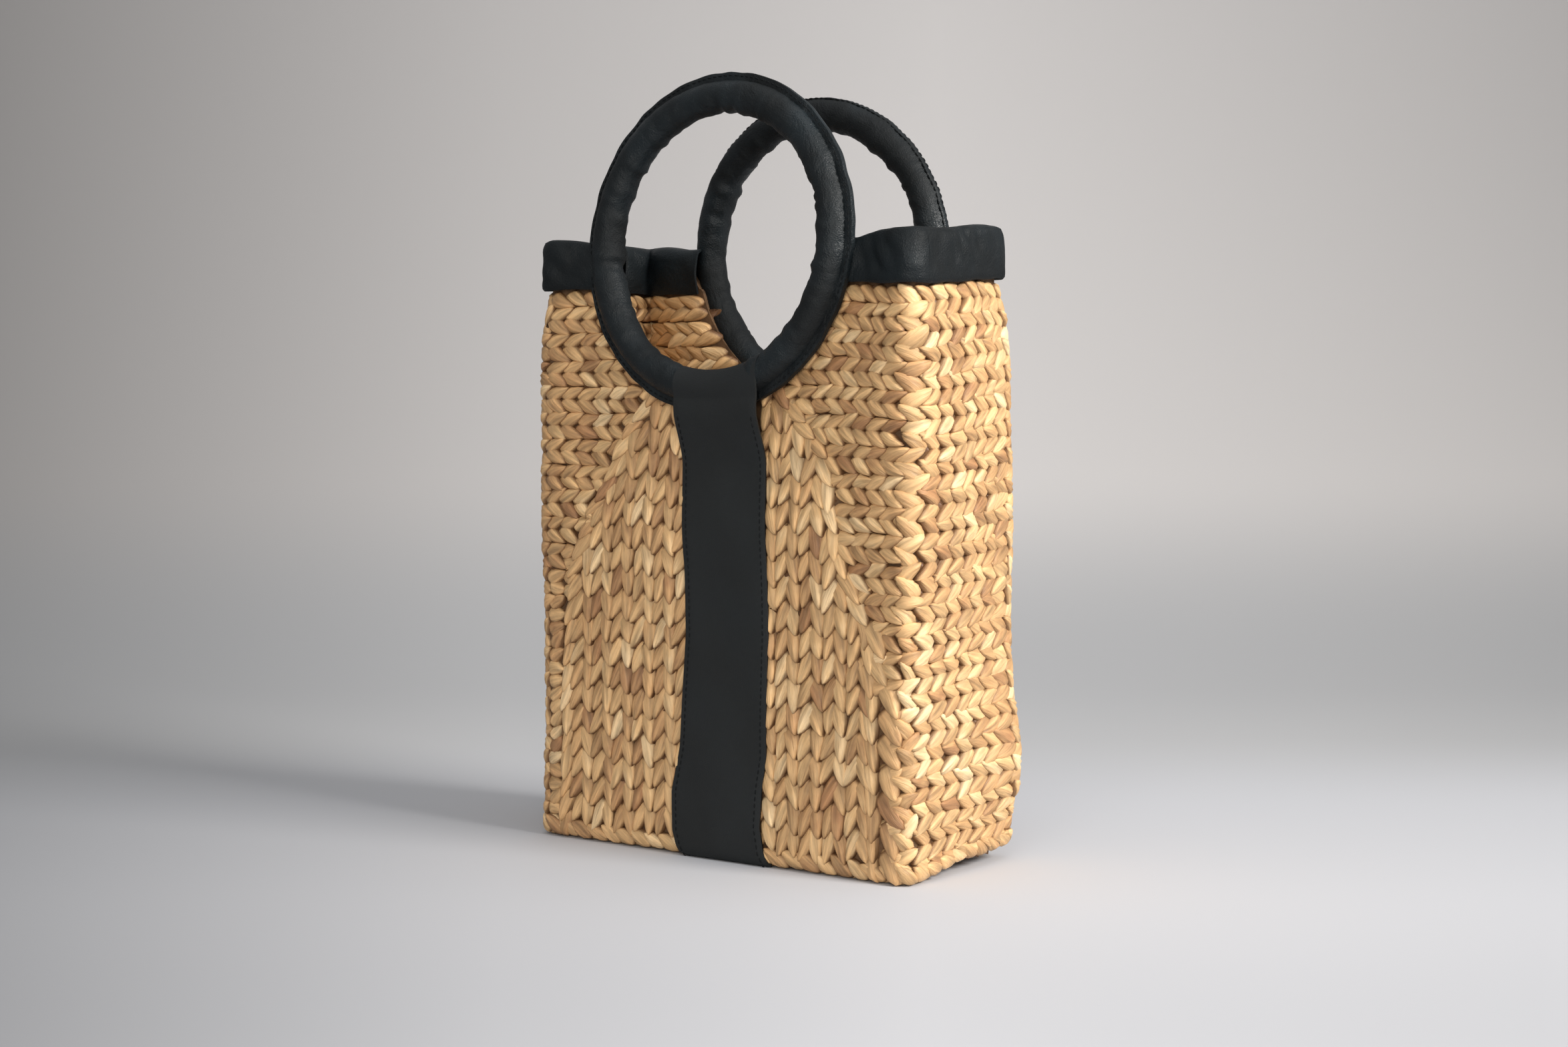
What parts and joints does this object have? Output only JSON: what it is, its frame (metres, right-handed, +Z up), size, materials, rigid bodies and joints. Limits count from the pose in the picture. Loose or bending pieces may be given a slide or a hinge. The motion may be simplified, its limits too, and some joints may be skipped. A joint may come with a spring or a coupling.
{
  "type": "woven handbag",
  "caption": "Boxy open-topped handbag of twined plant fibre with leather-covered ring handles, a centre strap and leather rim bands.",
  "frame": {"origin": "centre of the foot's outline, on the surface it stands on", "axes": "+Z up, the front with the nearer ring faces -Y, +X to its right as seen from the front"},
  "size_m": [0.2314, 0.1026, 0.3739],
  "materials": {
    "straw": "twined dried water-hyacinth stems, satin, fibrous",
    "leather": "near-black, soft satin, finely grained, with creases",
    "cane": "bent cane, plain",
    "thread": "waxed black sewing thread"
  },
  "bodies": {
    "bag_body": {"woven_body": "straw", "centre_strap": "leather", "left_rim_band": "leather", "right_rim_band": "leather", "left_rim_thread": "thread", "right_rim_thread": "thread", "front_left_strap_thread": "thread", "front_right_strap_thread": "thread", "back_left_strap_thread": "thread", "back_right_strap_thread": "thread"},
    "front_handle": {"front_yoke_weave": "straw", "front_strap_loop": "leather", "front_left_rim_band": "leather", "front_right_rim_band": "leather", "front_ring_core": "cane", "front_ring_cover": "leather", "front_ring_thread": "thread", "front_left_rim_thread": "thread", "front_right_rim_thread": "thread"},
    "back_handle": {"back_yoke_weave": "straw", "back_strap_loop": "leather", "back_left_rim_band": "leather", "back_right_rim_band": "leather", "back_ring_core": "cane", "back_ring_cover": "leather", "back_ring_thread": "thread", "back_left_rim_thread": "thread", "back_right_rim_thread": "thread"}
  },
  "joints": [
    {"name": "front_handle_lean", "type": "hinge", "parent": "bag_body", "child": "front_handle", "pos_m": [0, -0.0375, 0.2], "axis": [-1, 0, 0], "range_deg": [-8, 8], "stiffness_Nm_per_rad": 2},
    {"name": "back_handle_lean", "type": "hinge", "parent": "bag_body", "child": "back_handle", "pos_m": [0, 0.0375, 0.2], "axis": [1, 0, 0], "range_deg": [-8, 8], "stiffness_Nm_per_rad": 2}
  ]
}
